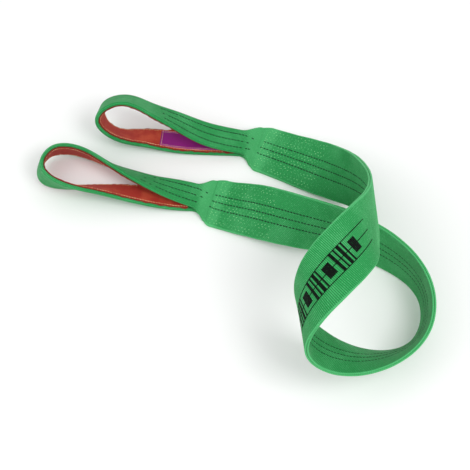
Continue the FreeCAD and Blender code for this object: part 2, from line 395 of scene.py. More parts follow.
def tube_faces(rows: int, ring: int, columns: int) -> list:
    """List the faces of a tube of rows rings, closed at both ends.

    A ring runs along columns points of the outer face, round one edge, back along the inner
    face and round the other edge. Quads join a ring to the next, and each end is closed by
    quads between the outer and inner face and one face at each edge.
    """
    rim = ring // 2 - columns
    low = np.arange(rows - 1)[:, None] * ring + np.arange(ring)[None, :]
    after = np.arange(rows - 1)[:, None] * ring + (np.arange(ring)[None, :] + 1) % ring
    sides = np.stack([low, low + ring, after + ring, after], axis=-1).reshape(-1, 4).tolist()
    top = np.arange(columns - 1)
    under = 2 * columns + rim - 1 - top
    cap = np.stack([top, top + 1, under - 1, under], axis=-1).tolist()
    cap.append(list(range(columns - 1, columns + rim + 1)))
    cap.append(list(range(2 * columns + rim - 1, ring)) + [0])
    last = (rows - 1) * ring
    far_cap = [[last + k for k in reversed(face)] for face in cap]
    return sides + cap + far_cap


@dataclass(frozen=True)
class StripSection:
    """Ring of points round a strip: positions across and the share of its thickness."""

    half_width: float
    half_thickness: float
    columns: np.ndarray
    rim: int = 5
    edge: float = 0.0012

    def ring(self) -> tuple[np.ndarray, np.ndarray, np.ndarray]:
        """Give position across, lift, and a mark that is 1 on the outer face and 0 elsewhere.

        The edges are half ellipses, edge deep and as high as the strip is thick.
        """
        inner = self.half_width - self.edge
        columns = np.clip(self.columns, -inner, inner)
        turn = np.linspace(math.pi / 2, -math.pi / 2, self.rim + 2)[1:-1]
        across = np.concatenate([columns, inner + self.edge * np.cos(turn)])
        across = np.concatenate([across, columns[::-1], -inner - self.edge * np.cos(turn)])
        high = np.full(len(columns), self.half_thickness)
        lift = np.concatenate([high, self.half_thickness * np.sin(turn)])
        lift = np.concatenate([lift, -high, -self.half_thickness * np.sin(turn)])
        outer = np.concatenate([np.ones(len(columns)), np.zeros(len(lift) - len(columns))])
        return across, lift, outer


def ribbed_rows(start: float, end: float) -> np.ndarray:
    """Give row distances on every rib and every groove between ribs, and at both ends."""
    half = RIB_PITCH / 2.0
    first, last = math.ceil(start / half + 0.2), math.floor(end / half - 0.2)
    return np.concatenate([[start], np.arange(first, last + 1) * half, [end]])


@dataclass
class StitchRow:
    """Where the stitches of one or more rows lie, with one value per stitch."""

    distance: np.ndarray | float
    sideways: np.ndarray | float
    lift: np.ndarray | float
    slant: np.ndarray | float
    inward: bool = False

    def __post_init__(self) -> None:
        """Repeat a single value for every stitch."""
        parts = np.broadcast_arrays(self.distance, self.sideways, self.lift, self.slant)
        self.distance, self.sideways, self.lift, self.slant = parts

    @classmethod
    def joined(cls, rows: list[StitchRow]) -> StitchRow:
        """Put the stitches of several rows one after another."""
        keys = ("distance", "sideways", "lift", "slant")
        parts = [np.concatenate([getattr(row, key) for row in rows]) for key in keys]
        return cls(*parts, inward=rows[0].inward)


@dataclass(frozen=True)
class Thread:
    """One stitch: an arched, rounded length of thread that dips into the cloth at both ends."""

    length: float
    width: float
    height: float
    dip: float = 1.0
    blunt: float = 0.06
    rings: int = 7
    sides: int = 6

    def shape(self) -> tuple[np.ndarray, list]:
        """Work out the stitch about its own middle.

        Along it u runs from -1 to 1. Its radius is the root of one less the fourth power of u,
        or of blunt where that is more, and its middle falls by the square of u times dip heights.
        """
        sides, last = self.sides, (self.rings - 1) * self.sides
        u = np.linspace(-1.0, 1.0, self.rings)
        radius = np.sqrt(np.maximum(1.0 - u**4, self.blunt))
        turn = np.arange(sides) * 2 * math.pi / sides
        along = np.repeat(u * self.length / 2, sides)
        across = np.outer(radius, np.cos(turn)).ravel() * self.width / 2
        dip = np.repeat(u**2 * self.height * self.dip, sides)
        up = np.outer(radius, np.sin(turn)).ravel() * self.height / 2 - dip
        ring = np.arange(self.rings - 1)[:, None] * sides
        low = ring + np.arange(sides)
        after = ring + (np.arange(sides) + 1) % sides
        quads = np.stack([low + sides, after + sides, after, low], axis=-1).reshape(-1, 4)
        ends = [list(range(sides)), [last + k for k in reversed(range(sides))]]
        return np.stack([along, across, up], axis=1), quads.tolist() + ends

    def sew(self, name: str, row: StitchRow, surface: Surface) -> bpy.types.Object:
        """Lay copies of the stitch on a surface.

        Args:
            name: the piece's name.
            row: where the stitches lie.
            surface: gives points from distance, sideways and lift.

        Returns:
            One mesh object with every stitch in it.
        """
        here = surface(row.distance, row.sideways, row.lift)
        ahead = rows_of(surface(row.distance + PROBE, row.sideways, row.lift) - here)
        beside = rows_of(surface(row.distance, row.sideways + PROBE, row.lift) - here)
        up = rows_of(np.cross(ahead, beside))
        outer = row.lift + (-PROBE if row.inward else PROBE)
        above = surface(row.distance, row.sideways, outer) - here
        up *= np.sign(np.sum(up * above, axis=1, keepdims=True))
        along = rows_of(ahead * np.cos(row.slant)[:, None] + beside * np.sin(row.slant)[:, None])
        across = np.cross(up, along)
        points, faces = self.shape()
        axes = np.stack([along, across, up], axis=1)
        placed = here[:, None, :] + np.einsum("pk,nkc->npc", points, axes)
        shift = np.arange(len(here)) * len(points)
        every = [[k + base for k in face] for base in shift.tolist() for face in faces]
        tone = np.sin(np.arange(len(here)) * TONE_STEP) * 0.5 + 0.5
        return make_piece(name, placed, every, {"tone": np.repeat(tone, len(points))})


# ---------------------------------------------------------------- materials


def linear(red: int, green: int, blue: int) -> tuple[float, float, float, float]:
    """Turn a colour of 0 to 255 per channel into linear light."""
    parts = [c / 255.0 for c in (red, green, blue)]
    lit = [c / 12.92 if c <= 0.04045 else ((c + 0.055) / 1.055) ** 2.4 for c in parts]
    return lit[0], lit[1], lit[2], 1.0


class Expression:
    """A socket that holds a number. Python's operators on it add Math nodes."""

    def __init__(self, graph: Graph, socket: bpy.types.NodeSocket) -> None:
        """Wrap a socket of the graph."""
        self.graph = graph
        self.socket = socket

    def _math(self, operation: str, *values: object) -> Expression:
        """Add one Math node and wrap its result."""
        made = self.graph.node("ShaderNodeMath", {"operation": operation}, dict(enumerate(values)))
        return Expression(self.graph, made.outputs[0])

    def __add__(self, other: object) -> Expression:
        """Add."""
        return self._math("ADD", self, other)

    __radd__ = __add__

    def __sub__(self, other: object) -> Expression:
        """Take other away."""
        return self._math("SUBTRACT", self, other)

    def __rsub__(self, other: object) -> Expression:
        """Take this away from other."""
        return self._math("SUBTRACT", other, self)

    def __mul__(self, other: object) -> Expression:
        """Multiply."""
        return self._math("MULTIPLY", self, other)

    __rmul__ = __mul__

    def __truediv__(self, other: object) -> Expression:
        """Divide."""
        return self._math("DIVIDE", self, other)

    def cosine(self) -> Expression:
        """Cosine of an angle in radians."""
        return self._math("COSINE", self)

    def floor(self) -> Expression:
        """Whole number below."""
        return self._math("FLOOR", self)

    def size(self) -> Expression:
        """Value without its sign."""
        return self._math("ABSOLUTE", self)

    def wave(self, pitch: float) -> Expression:
        """Cosine wave of 0 to 1 whose crests lie a pitch apart."""
        return (self * (2 * math.pi / pitch)).cosine() * 0.5 + 0.5

    def ramp(self, low: float, high: float) -> Expression:
        """Rise smoothly from 0 at low to 1 at high."""
        made = self.graph.node(
            "ShaderNodeMapRange",
            {"interpolation_type": "SMOOTHSTEP"},
            {"Value": self, "From Min": low, "From Max": high},
        )
        return Expression(self.graph, made.outputs[0])


class Graph:
    """Node tree of one material, ending in a Principled BSDF."""

    def __init__(self, name: str, specular: float = 0.5, sheen: float = 0.0) -> None:
        """Make the material, find its shader and set how it shines."""
        self.material = bpy.data.materials.new(name)
        self.material.use_nodes = True
        self.tree = self.material.node_tree
        self.shader = self.tree.nodes["Principled BSDF"]
        self.feed(self.shader.inputs["Specular IOR Level"], specular)
        self.feed(self.shader.inputs["Sheen Weight"], sheen)

    def node(self, kind: str, settings: dict, inputs: dict) -> bpy.types.Node:
        """Add a node, set its properties first and then its sockets.

        Args:
            kind: the node's type name.
            settings: properties by name.
            inputs: values, sockets or expressions, by socket name or number.

        Returns:
            The new node.
        """
        made = self.tree.nodes.new(kind)
        for key, value in settings.items():
            setattr(made, key, value)
        for key, value in inputs.items():
            self.feed(made.inputs[key], value)
        return made

    def feed(self, socket: bpy.types.NodeSocket, value: object) -> None:
        """Link or set one input socket."""
        if isinstance(value, Expression):
            value = value.socket
        if isinstance(value, bpy.types.NodeSocket):
            self.tree.links.new(value, socket)
        else:
            socket.default_value = value

    def mark(self, name: str) -> Expression:
        """Read a named value of the mesh."""
        made = self.node("ShaderNodeAttribute", {"attribute_name": name}, {})
        return Expression(self, made.outputs["Fac"])

    def noise(self, scale: float, detail: float = 2.0) -> Expression:
        """Noise of about 0 to 1 on object coordinates, with scale features per metre."""
        where = self.node("ShaderNodeTexCoord", {}, {}).outputs["Object"]
        made = self.node("ShaderNodeTexNoise", {}, {"Vector": where, "Scale": scale, "Detail": detail})
        return Expression(self, made.outputs[0])

    def mix(self, share: Expression, first: object, second: object) -> bpy.types.NodeSocket:
        """Mix two colours by a share from 0 to 1, through the node's colour sockets."""
        settings = {"data_type": "RGBA", "clamp_factor": True}
        return self.node("ShaderNodeMix", settings, {0: share, 6: first, 7: second}).outputs[2]

    def finish(
        self, colour: object, roughness: object, height: Expression | None = None, depth: float = 0.0
    ) -> bpy.types.Material:
        """Feed the shader and give back the material.

        Args:
            colour: base colour.
            roughness: number or expression.
            height: relief of 0 to 1, or None.
            depth: height of the relief in metres.

        Returns:
            The finished material.
        """
        self.feed(self.shader.inputs["Base Color"], colour)
        self.feed(self.shader.inputs["Roughness"], roughness)
        if height is not None:
            bump = self.node("ShaderNodeBump", {}, {"Strength": 1.0, "Distance": depth, "Height": height})
            self.feed(self.shader.inputs["Normal"], bump.outputs[0])
        return self.material


class Weave(Enum):
    """How the webbing's floats lie."""

    CHECKED = "checked"
    RIBBED = "ribbed"


@dataclass(frozen=True)
class WebbingFinish:
    """Green polyester webbing: warp ends side by side, bound into ribs across the web."""

    name: str
    weave: Weave
    base: tuple = linear(30, 158, 78)
    light: tuple = linear(104, 212, 138)
    # deep colours the painted shade in the grooves between ribs and between warp ends
    deep: tuple = linear(8, 84, 40)
    end_pitch: float = 0.0019
    depth: float = 0.0004
    # Where the painted highlight beside each shoulder is brightest, and how far it reaches
    highlight_at: float = 0.009
    highlight_reach: tuple = (0.006, 0.019)
    selvedge: tuple = (0.0425, 0.0442)

    def material(self) -> bpy.types.Material:
        """Build the webbing's material.

        A rib's height is a cosine along the web. On the checked weave every second warp end is
        half a rib out of step. Each end is rounded by a cosine across the web. The colour darkens
        into the grooves between ribs and between warp ends, as painted shade. Patches, flecks and
        the selvedges are lighter, and a band beside each shoulder is lighter as a painted highlight.
        """
        graph = Graph(self.name, specular=0.3, sheen=0.04)
        along, across = graph.mark("along"), graph.mark("across")
        end = across / self.end_pitch
        phase = along * (2 * math.pi / RIB_PITCH)
        if self.weave is Weave.CHECKED:
            odd = (end.floor() * 0.5 - (end.floor() * 0.5).floor()) * 2.0
            phase = phase + odd * math.pi
        rib = phase.cosine() * 0.5 + 0.5
        rounded = 0.5 - (end * (2 * math.pi)).cosine() * 0.5
        relief = rib * 0.65 + rounded * 0.35
        fibre = graph.noise(2600.0, 1.0)
        patches = graph.noise(24.0, 3.0).ramp(0.42, 0.7)
        flecks = graph.noise(520.0, 0.0).ramp(0.56, 0.74)
        # Painted highlight: a lighter band beside each shoulder, where light falls on the fold
        shoulder_highlight = 1.0 - (graph.mark("shoulder") - self.highlight_at).size().ramp(*self.highlight_reach)
        selvedge = across.size().ramp(*self.selvedge)
        # Painted shade: the colour darkens from base to deep into the grooves between ribs and between warp
        # ends
        colour = graph.mix(relief.ramp(0.0, 0.75), self.deep, self.base)
        worn = (patches * 0.28 + flecks * 0.34) * relief.ramp(0.2, 0.8)
        for share in (worn, shoulder_highlight * 0.26, selvedge * 0.35):
            colour = graph.mix(share, colour, self.light)
        roughness = 0.62 - relief * 0.12 + fibre * 0.12
        return graph.finish(colour, roughness, relief * 0.8 + fibre * 0.2, self.depth)


@dataclass(frozen=True)
class LiningFinish:
    """Red wear lining with a fine cross rib, painted darker in the rib grooves as painted shade, and darker
    towards its edges.
    """

    name: str = "red_lining"
    base: tuple = linear(208, 66, 44)
    light: tuple = linear(236, 116, 72)
    # deep colours the painted shade in the rib grooves and the darker edges
    deep: tuple = linear(112, 22, 28)
    pitch: float = 0.0016
    end_pitch: float = 0.0012
    darker_edge: tuple = (0.0165, 0.0205)
    depth: float = 0.00035

    def material(self) -> bpy.types.Material:
        """Build the lining's material: ribs as a cosine along it, painted darker in their grooves as painted
        shade, and darker edges.
        """
        graph = Graph(self.name, specular=0.2, sheen=0.05)
        rib = graph.mark("along").wave(self.pitch)
        ends = graph.mark("across").wave(self.end_pitch)
        patches = graph.noise(38.0, 3.0)
        fibre = graph.noise(2400.0, 1.0)
        # Painted shade: the colour darkens from base to deep into the grooves between ribs
        colour = graph.mix(rib * 0.75 + 0.12, self.deep, self.base)
        colour = graph.mix(patches.ramp(0.45, 0.72) * rib * 0.55, colour, self.light)
        # The cloth is darker towards both edges
        worn = graph.mark("across").size().ramp(*self.darker_edge)
        colour = graph.mix(worn * 0.7, colour, self.deep)
        relief = rib * 0.6 + ends * 0.25 + fibre * 0.15
        return graph.finish(colour, 0.86 - fibre * 0.12, relief, self.depth)


@dataclass(frozen=True)
class LabelFinish:
    """Magenta woven label with a paler woven edge and no marking."""

    name: str = "magenta_label"
    base: tuple = linear(158, 20, 140)
    deep: tuple = linear(104, 8, 98)
    edge_colour: tuple = linear(214, 110, 176)
    pitch: float = 0.0008
    border: tuple = (0.0152, 0.0160)
    depth: float = 0.00015

    def material(self) -> bpy.types.Material:
        """Build the label's material: a fine satin weave inside a pale border."""
        graph = Graph(self.name, specular=0.3)
        across = graph.mark("across")
        weft = graph.mark("along").wave(self.pitch)
        warp = across.wave(self.pitch)
        patches = graph.noise(60.0, 2.0)
        colour = graph.mix(weft * 0.6 + patches * 0.4, self.deep, self.base)
        border = across.size().ramp(*self.border)
        colour = graph.mix(border * 0.7, colour, self.edge_colour)
        return graph.finish(colour, 0.58 + patches * 0.1, weft * 0.5 + warp * 0.5, self.depth)


@dataclass(frozen=True)
class ThreadFinish:
    """Twisted sewing thread of one colour."""

    name: str
    base: tuple
    deep: tuple
    depth: float = 0.0002

    def material(self) -> bpy.types.Material:
        """Build the thread's material: each stitch has its own tone, over a fine twist."""
        graph = Graph(self.name, specular=0.25)
        fibre = graph.noise(1900.0, 1.0)
        tone = graph.mark("tone") * 0.55 + fibre * 0.45
        colour = graph.mix(tone, self.deep, self.base)
        return graph.finish(colour, 0.6 + fibre * 0.15, fibre, self.depth)


@dataclass(frozen=True)
class InkFinish:
    """Black ink that has sunk into the webbing and is thin over the ribs' crests."""

    name: str = "black_ink"
    base: tuple = linear(5, 14, 9)
    thin: tuple = linear(16, 84, 42)
    depth: float = 0.0006

    def material(self) -> bpy.types.Material:
        """Build the ink's material: thinner on a rib's crest and where noise wears it."""
        graph = Graph(self.name, specular=0.12)
        rib = graph.mark("along").wave(RIB_PITCH)
        worn = graph.noise(300.0, 2.0).ramp(0.5, 0.75) * rib.ramp(0.35, 1.0)
        colour = graph.mix(worn * 0.8, self.base, self.thin)
        return graph.finish(colour, 0.8 + worn * 0.1, rib, self.depth)


class Finishes:
    """Every material of the sling, made once."""

    def __init__(self) -> None:
        """Build the materials."""
        green = ThreadFinish("green_thread", linear(150, 226, 160), linear(44, 168, 90))
        pale = ThreadFinish("pale_thread", linear(255, 228, 170), linear(232, 160, 104))
        dark = ThreadFinish("dark_tracer", linear(10, 62, 36), linear(6, 34, 22))
        self.striped = WebbingFinish("green_webbing", Weave.CHECKED).material()
        self.printed = WebbingFinish("green_webbing_ribbed", Weave.RIBBED).material()
        self.lining = LiningFinish().material()
        self.label = LabelFinish().material()
        self.green_thread = green.material()
        self.pale_thread = pale.material()
        self.tracer = dark.material()
        self.ink = InkFinish().material()


# ---------------------------------------------------------------- sub-assemblies


def dress(piece: bpy.types.Object, material: bpy.types.Material) -> None:
    """Give a piece its material and log it."""
    piece.data.materials.append(material)
    LOG.info("%s: %d faces", piece.name, len(piece.data.polygons))


def webbing_strip(
    course: Course, name: str, start: float, end: float, columns: np.ndarray, rib_height: float, grooved: bool
) -> bpy.types.Object:
    """Build a stretch of webbing with rounded selvedges, cross ribs and tracer grooves.

    The outer face is lifted by a cosine of the distance over the rib pitch, and lowered along
    each tracer by a bell curve across. The whole web wanders in width by a slow ripple.

    Args:
        course: the closed line that the webbing follows.
        name: the piece's name.
        start: distance at which the stretch starts.
        end: distance at which it ends.
        columns: positions of the mesh's columns across the web.
        rib_height: height of a rib above the middle of its slope.
        grooved: whether tracers lie in grooves of the outer face.

    Returns:
        The new mesh object.
    """
    section = StripSection(PLY_WIDTH / 2.0, PLY_THICKNESS / 2.0, columns)
    across, lift, outer = section.ring()
    rows = ribbed_rows(start, end)
    relief = rib_height * np.cos(2 * math.pi * rows / RIB_PITCH)[:, None] * outer[None, :]
    if grooved:
        nearest = np.abs(across[:, None] - TRACER_SPACING * np.array([-1, 0, 1])[None, :]).min(axis=1)
        relief = relief - GROOVE_DEPTH * (np.exp(-((nearest / GROOVE_HALF) ** 2)) * outer)[None, :]
    wander = 1.0 + WIDTH_WANDER * ripple(rows, (0.043, 0.117, 0.261), 0.8)[:, None]
    points = course.webbing(rows[:, None] + 0 * across, across[None, :] * wander, lift[None, :] + relief)
    marks = {"along": rows[:, None], "across": across[None, :]}
    marks["shoulder"] = course.shoulder_distance(rows)[:, None]
    return make_piece(name, points, tube_faces(len(rows), len(across), len(columns)), marks)


def groove_columns(pitch: float) -> np.ndarray:
    """Give column positions across the web at a pitch, with closer ones at each tracer."""
    half, close = PLY_WIDTH / 2.0, 0.0006
    even = np.linspace(-half, half, round(PLY_WIDTH / pitch) + 1)
    steps = (-0.0013, -close, 0.0, close, 0.0013)
    near = [TRACER_SPACING * k + step for k in (-1, 0, 1) for step in steps]
    spread = even[np.abs(even[:, None] - np.array(near)[None, :]).min(axis=1) > close]
    return np.sort(np.concatenate([spread, near]))


def tracer_rows(start: float, end: float, fade: float) -> StitchRow:
    """Lay three rows of dark floats, side by side and a little uneven.

    Args:
        start: distance of the first float.
        end: distance past the last one.
        fade: length at each end over which floats are left out more and more.

    Returns:
        The floats of all three rows.
    """
    pitch = 2 * RIB_PITCH
    rng = np.random.default_rng(TRACER_SEED)
    rows = []
    for k in (-1, 0, 1):
        distance = np.arange(start, end, pitch) + pitch * 0.3 * k
        distance = distance + rng.normal(0.0, 0.0003, len(distance))
        if fade:
            keep = np.minimum(distance - start, end - distance) / fade > rng.random(len(distance))
            distance = distance[keep]
        lane = TRACER_SPACING * k + rng.normal(0.0, 0.00012, len(distance))
        slant = rng.normal(0, 0.03, len(distance))
        rows.append(StitchRow(distance, lane, PLY_THICKNESS / 2.0 - TRACER_SUNK, slant))
    return StitchRow.joined(rows)


@dataclass
class Body:
    """The two plies between the shoulders, with their splice sewing, tracers and ink."""

    course: Course
    finishes: Finishes
    column_pitch: float = 0.0036
    rib_height: float = 0.00010
    printed_rib_height: float = 0.00020
    tracer: Thread = Thread(length=0.0048, width=0.0021, height=0.0009, dip=0.3)
    tracer_margin: float = 0.003
    tail_length: float = 0.150
    tail_gap: float = 0.001
    splice_thread: Thread = Thread(length=0.0028, width=0.0011, height=0.0007)
    splice_start: float = 0.009
    splice_length: float = 0.110
    splice_rows: int = 6
    splice_margin: float = 0.009
    splice_pitch: float = 0.0033
    splice_lift: float = 0.00165
    zigzag: float = 0.0024
    zigzag_slant: float = 0.62
    shoulder_pitch: float = 0.0042
    print_start: float = 0.640
    print_end: float = 0.955
    print_half_height: float = 0.0170
    line_half_width: float = 0.0007
    bars: tuple = ((0.0, 0.0052), (0.0090, 0.0028), (0.0156, 0.0052), (0.0246, 0.0028))
    bars_pitch: float = 0.0340
    block_length: float = 0.0150
    block_half_height: float = 0.0105
    block_pitch: float = 0.0216
    ink_proud: float = 0.00008
    ink_sunk: float = 0.00055

    def build(self) -> None:
        """Build every piece that rides on the sling's body."""
        upper = self._upper()
        lower = self._lower()
        flat = (PLY_WIDTH, self._length(Span.UPPER_PLY))
        flat = (PLY_WIDTH, self._length(Span.LOWER_PLY) - self.tail_length - self.tail_gap)
        self._splices()

    def _length(self, span: Span) -> float:
        """Length of a span."""
        start, end = self.course.span(span)
        return end - start

    def _upper(self) -> bpy.types.Object:
        """Build the striped ply and its tracer floats."""
        start, end = self.course.span(Span.UPPER_PLY)
        columns = groove_columns(self.column_pitch)
        piece = webbing_strip(self.course, "upper_ply_webbing", start, end, columns, self.rib_height, True)
        dress(piece, self.finishes.striped)
        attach(piece, "sling_body")
        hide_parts("upper_ply")
        floats = tracer_rows(start + self.tracer_margin, end - self.tracer_margin, 0.0)
        tracers = self.tracer.sew("upper_ply_tracers", floats, self.course.webbing)
        dress(tracers, self.finishes.tracer)
        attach(tracers, "sling_body")
        return piece

    def _lower(self) -> bpy.types.Object:
        """Build the printed ply, the free end beside it at the near splice, and the ink."""
        start, end = self.course.span(Span.LOWER_PLY)
        cut = end - self.tail_length
        stretches = (
            ("lower_ply_webbing", "lower_ply", start, cut - self.tail_gap),
            ("near_webbing_tail", "near_webbing_end", cut, end),
        )
        columns = groove_columns(self.column_pitch)
        pieces = []
        for name, node, first, last in stretches:
            piece = webbing_strip(self.course, name, first, last, columns, self.printed_rib_height, False)
            dress(piece, self.finishes.printed)
            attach(piece, "sling_body")
            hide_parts(node)
            pieces.append(piece)
        self._ink(end)
        return pieces[0]

    def _marks(self) -> list[tuple[float, float, float, float]]:
        """List plain marks by first and last distance from the near shoulder, low and high side.

        They are three fine lines, and between them groups of bars with a block after each.
        """
        high, fine, block = self.print_half_height, self.line_half_width, self.block_half_height
        lines = [(k * high - fine, k * high + fine) for k in (-1.0, 0.0, 1.0)]
        marks = [(self.print_start, self.print_end, *sides) for sides in lines]
        here, barred = self.print_start + 0.006, True
        while here < self.print_end - self.bars_pitch:
            if barred:
                marks += [(here + place, here + place + wide, -high, high) for place, wide in self.bars]
            else:
                marks.append((here, here + self.block_length, -block, block))
            here += self.bars_pitch if barred else self.block_pitch
            barred = not barred
        return marks

    def _ink(self, near_shoulder: float) -> None:
        """Print the marks on the lower ply, as one piece."""
        points, faces, places, base = [], [], [], 0
        for mark in self._marks():
            patch, quads, place = self._patch(near_shoulder, *mark)
            faces += [[k + base for k in quad] for quad in quads]
            points.append(patch)
            places.append(place)
            base += len(patch)
        along, across = np.concatenate(places).T
        piece = make_piece("printed_marks", np.concatenate(points), faces, {"along": along, "across": across})
        dress(piece, self.finishes.ink)
        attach(piece, "sling_body")

    def _patch(
        self, near_shoulder: float, first: float, last: float, low: float, top: float
    ) -> tuple[np.ndarray, list, np.ndarray]:
        """Lay one mark on the ply: a thin closed slab on the crests of its ribs.

        The slab is a grid of distance and width. Its upper face stands a little above the
        crests and its lower face is inside the ply.

        Args:
            near_shoulder: distance of the near shoulder along the course.
            first: where the mark starts, measured back from the near shoulder.
            last: where it ends.
            low: its lower side across the web.
            top: its upper side.

        Returns:
            Points, faces, and each point's distance and position across.
        """
        rows = max(2, math.ceil((last - first) / (RIB_PITCH / 2.0)) + 1)
        columns = max(2, math.ceil((top - low) / 0.004) + 1)
        lengths = near_shoulder - np.linspace(first, last, rows)
        where, side = np.meshgrid(lengths, np.linspace(low, top, columns), indexing="ij")
        crest = PLY_THICKNESS / 2.0 + self.printed_rib_height + 0 * side
        over = self.course.webbing(where, side, crest + self.ink_proud)
        under = self.course.webbing(where, side, crest - self.ink_sunk)
        count = rows * columns
        grid = np.arange(count).reshape(rows, columns)
        quads = np.stack([grid[:-1, :-1], grid[:-1, 1:], grid[1:, 1:], grid[1:, :-1]], axis=-1).reshape(-1, 4)
        faces = quads.tolist() + (quads[:, ::-1] + count).tolist()
        rim = np.concatenate([grid[0, :], grid[1:, -1], grid[-1, -2::-1], grid[-2:0:-1, 0]])
        after = np.roll(rim, -1)
        faces += np.stack([rim, rim + count, after + count, after], axis=-1).tolist()
        place = np.stack([where, side], axis=-1).reshape(-1, 2)
        return np.stack([over, under]).reshape(-1, 3), faces, np.tile(place, (2, 1))

    def _splices(self) -> None:
        """Sew each splice with zigzag rows and one row across at the shoulder, on both faces."""
        reach = PLY_WIDTH / 2.0 - self.splice_margin
        top_start, top_end = self.course.span(Span.UPPER_PLY)
        low_start, low_end = self.course.span(Span.LOWER_PLY)
        places = {
            "near": ((top_start, 1.0), (low_end, -1.0)),
            "far": ((top_end, -1.0), (low_start, 1.0)),
        }
        rng = np.random.default_rng(SPLICE_SEED)
        stop = self.splice_start + self.splice_length
        for end, faces in places.items():
            rows = []
            for shoulder, sense in faces:
                for lane in np.linspace(-reach, reach, self.splice_rows):
                    out = np.arange(self.splice_start, stop, self.splice_pitch)
                    swing = np.where(np.arange(len(out)) % 2 == 0, 1.0, -1.0)
                    lanes = lane + self.zigzag * swing + rng.normal(0, 0.0009, len(out))
                    out = out + rng.normal(0, 0.0006, len(out))
                    slant = self.zigzag_slant * swing
                    rows.append(StitchRow(shoulder + sense * out, lanes, self.splice_lift, slant))
                lanes = np.arange(-reach - 0.005, reach + 0.006, self.shoulder_pitch)
                out = self.splice_start - 0.002
                rows.append(StitchRow(shoulder + sense * out, lanes, self.splice_lift, math.pi / 2))
            stitches = StitchRow.joined(rows)
            piece = self.splice_thread.sew(f"{end}_splice_stitches", stitches, self.course.webbing)
            dress(piece, self.finishes.green_thread)
            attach(piece, "sling_body")
            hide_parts(f"{end}_splice_sewing")


@dataclass
class Eye:
    """One eye: folded webbing, lining, the sewing of the lining, and tracers on its upper leg."""

    course: Course
    finishes: Finishes
    end: str
    span: Span
    tracer_length: float
    column_pitch: float = 0.00115
    rib_height: float = 0.00020
    flex_length: float = 0.050
    tracer: Thread = Thread(length=0.0048, width=0.0023, height=0.0010, dip=0.3)
    tracer_margin: float = 0.003
    tracer_fade: float = 0.030
    lining_pitch: float = 0.0016
    pucker: float = 0.0008
    swell: float = 0.00035
    seam_thread: Thread = Thread(length=0.0034, width=0.0015, height=0.0010, dip=0.5)
    seam_inset: float = 0.003
    stitch_pitch: float = 0.0046

    def build(self) -> None:
        """Build the eye's pieces and bake each one's transform."""
        start, end = self.course.span(self.span)
        name, columns = f"{self.end}_eye_webbing", groove_columns(self.column_pitch)
        web = webbing_strip(self.course, name, start, end, columns, self.rib_height, True)
        dress(web, self.finishes.striped)
        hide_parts(f"{self.end}_eye_web")
        self.flex(web)
        self._tracers(start, end)
        lining = self._lining(start + LINING_START, end - LINING_START)
        seam = self._seam(start + LINING_START, end - LINING_START)

    def flex(self, piece: bpy.types.Object) -> None:
        """Bake the piece's transform into its mesh; the point a flex length past the shoulder is worked out
        but not used.
        """
        centre, away = self.course.shoulders[self.span]
        stop = centre + away * self.flex_length
        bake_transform(piece)

    def _tracers(self, start: float, end: float) -> None:
        """Run the tracers on over the upper leg until wear hides them."""
        if self.span is Span.FAR_EYE:
            first, last = start + self.tracer_margin, start + self.tracer_length
        else:
            first, last = end - self.tracer_length, end - self.tracer_margin
        floats = tracer_rows(first, last, self.tracer_fade)
        piece = self.tracer.sew(f"{self.end}_eye_tracers", floats, self.course.webbing)
        dress(piece, self.finishes.tracer)
        self.flex(piece)

    def _lining(self, start: float, end: float) -> bpy.types.Object:
        """Build the lining: a strip inside the eye whose edges pucker between stitches.

        Each edge moves in and out by an uneven ripple of the distance, and the cloth swells
        away from the webbing by a smaller one.
        """
        columns = np.linspace(-LINING_HALF_WIDTH, LINING_HALF_WIDTH, 15)
        section = StripSection(LINING_HALF_WIDTH, LINING_THICKNESS / 2.0, columns, edge=0.0009)
        across, lift, _ = section.ring()
        rows = np.linspace(start, end, round((end - start) / self.lining_pitch) + 1)
        left = ripple(rows, (0.013, 0.021, 0.034), 1.1)[:, None]
        right = ripple(rows, (0.011, 0.019, 0.041), 2.3)[:, None]
        edge = np.clip((np.abs(across) / LINING_HALF_WIDTH - 0.7) / 0.3, 0, 1)[None, :]
        shift = self.pucker * edge * np.where(across > 0, right, left) * np.sign(across)
        middle = -EYE_FACE - LINING_GAP - LINING_THICKNESS / 2.0
        inner = np.where(lift < 0, 1.0, 0.0)[None, :]
        swell = self.swell * ripple(rows, (0.017, 0.029), 0.4)[:, None] * inner
        distance = rows[:, None] + 0 * across[None, :]
        points = self.course.place(distance, across[None, :] + shift, middle + lift[None, :] - np.abs(swell))
        faces = tube_faces(len(rows), len(across), len(columns))
        marks = {"along": distance, "across": across[None, :]}
        piece = make_piece(f"{self.end}_eye_lining_cloth", points, faces, marks)
        dress(piece, self.finishes.lining)
        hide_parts(f"{self.end}_eye_lining")
        self.flex(piece)
        return piece

    def _seam(self, start: float, end: float) -> bpy.types.Object:
        """Sew the lining along both edges."""
        rng = np.random.default_rng(SEAM_SEED)
        face = -EYE_FACE - LINING_GAP - LINING_THICKNESS - 0.0002
        rows = []
        for side in (-1.0, 1.0):
            distance = np.arange(start + 0.002, end - 0.002, self.stitch_pitch)
            lane = side * (LINING_HALF_WIDTH - self.seam_inset) + rng.normal(0, 0.00025, len(distance))
            slant = rng.normal(0.0, 0.14, len(distance))
            rows.append(StitchRow(distance, lane, face, slant, inward=True))
        piece = self.seam_thread.sew(f"{self.end}_lining_stitches", StitchRow.joined(rows), self.course.place)
        dress(piece, self.finishes.pale_thread)
        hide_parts(f"{self.end}_lining_seam")
        self.flex(piece)
        return piece


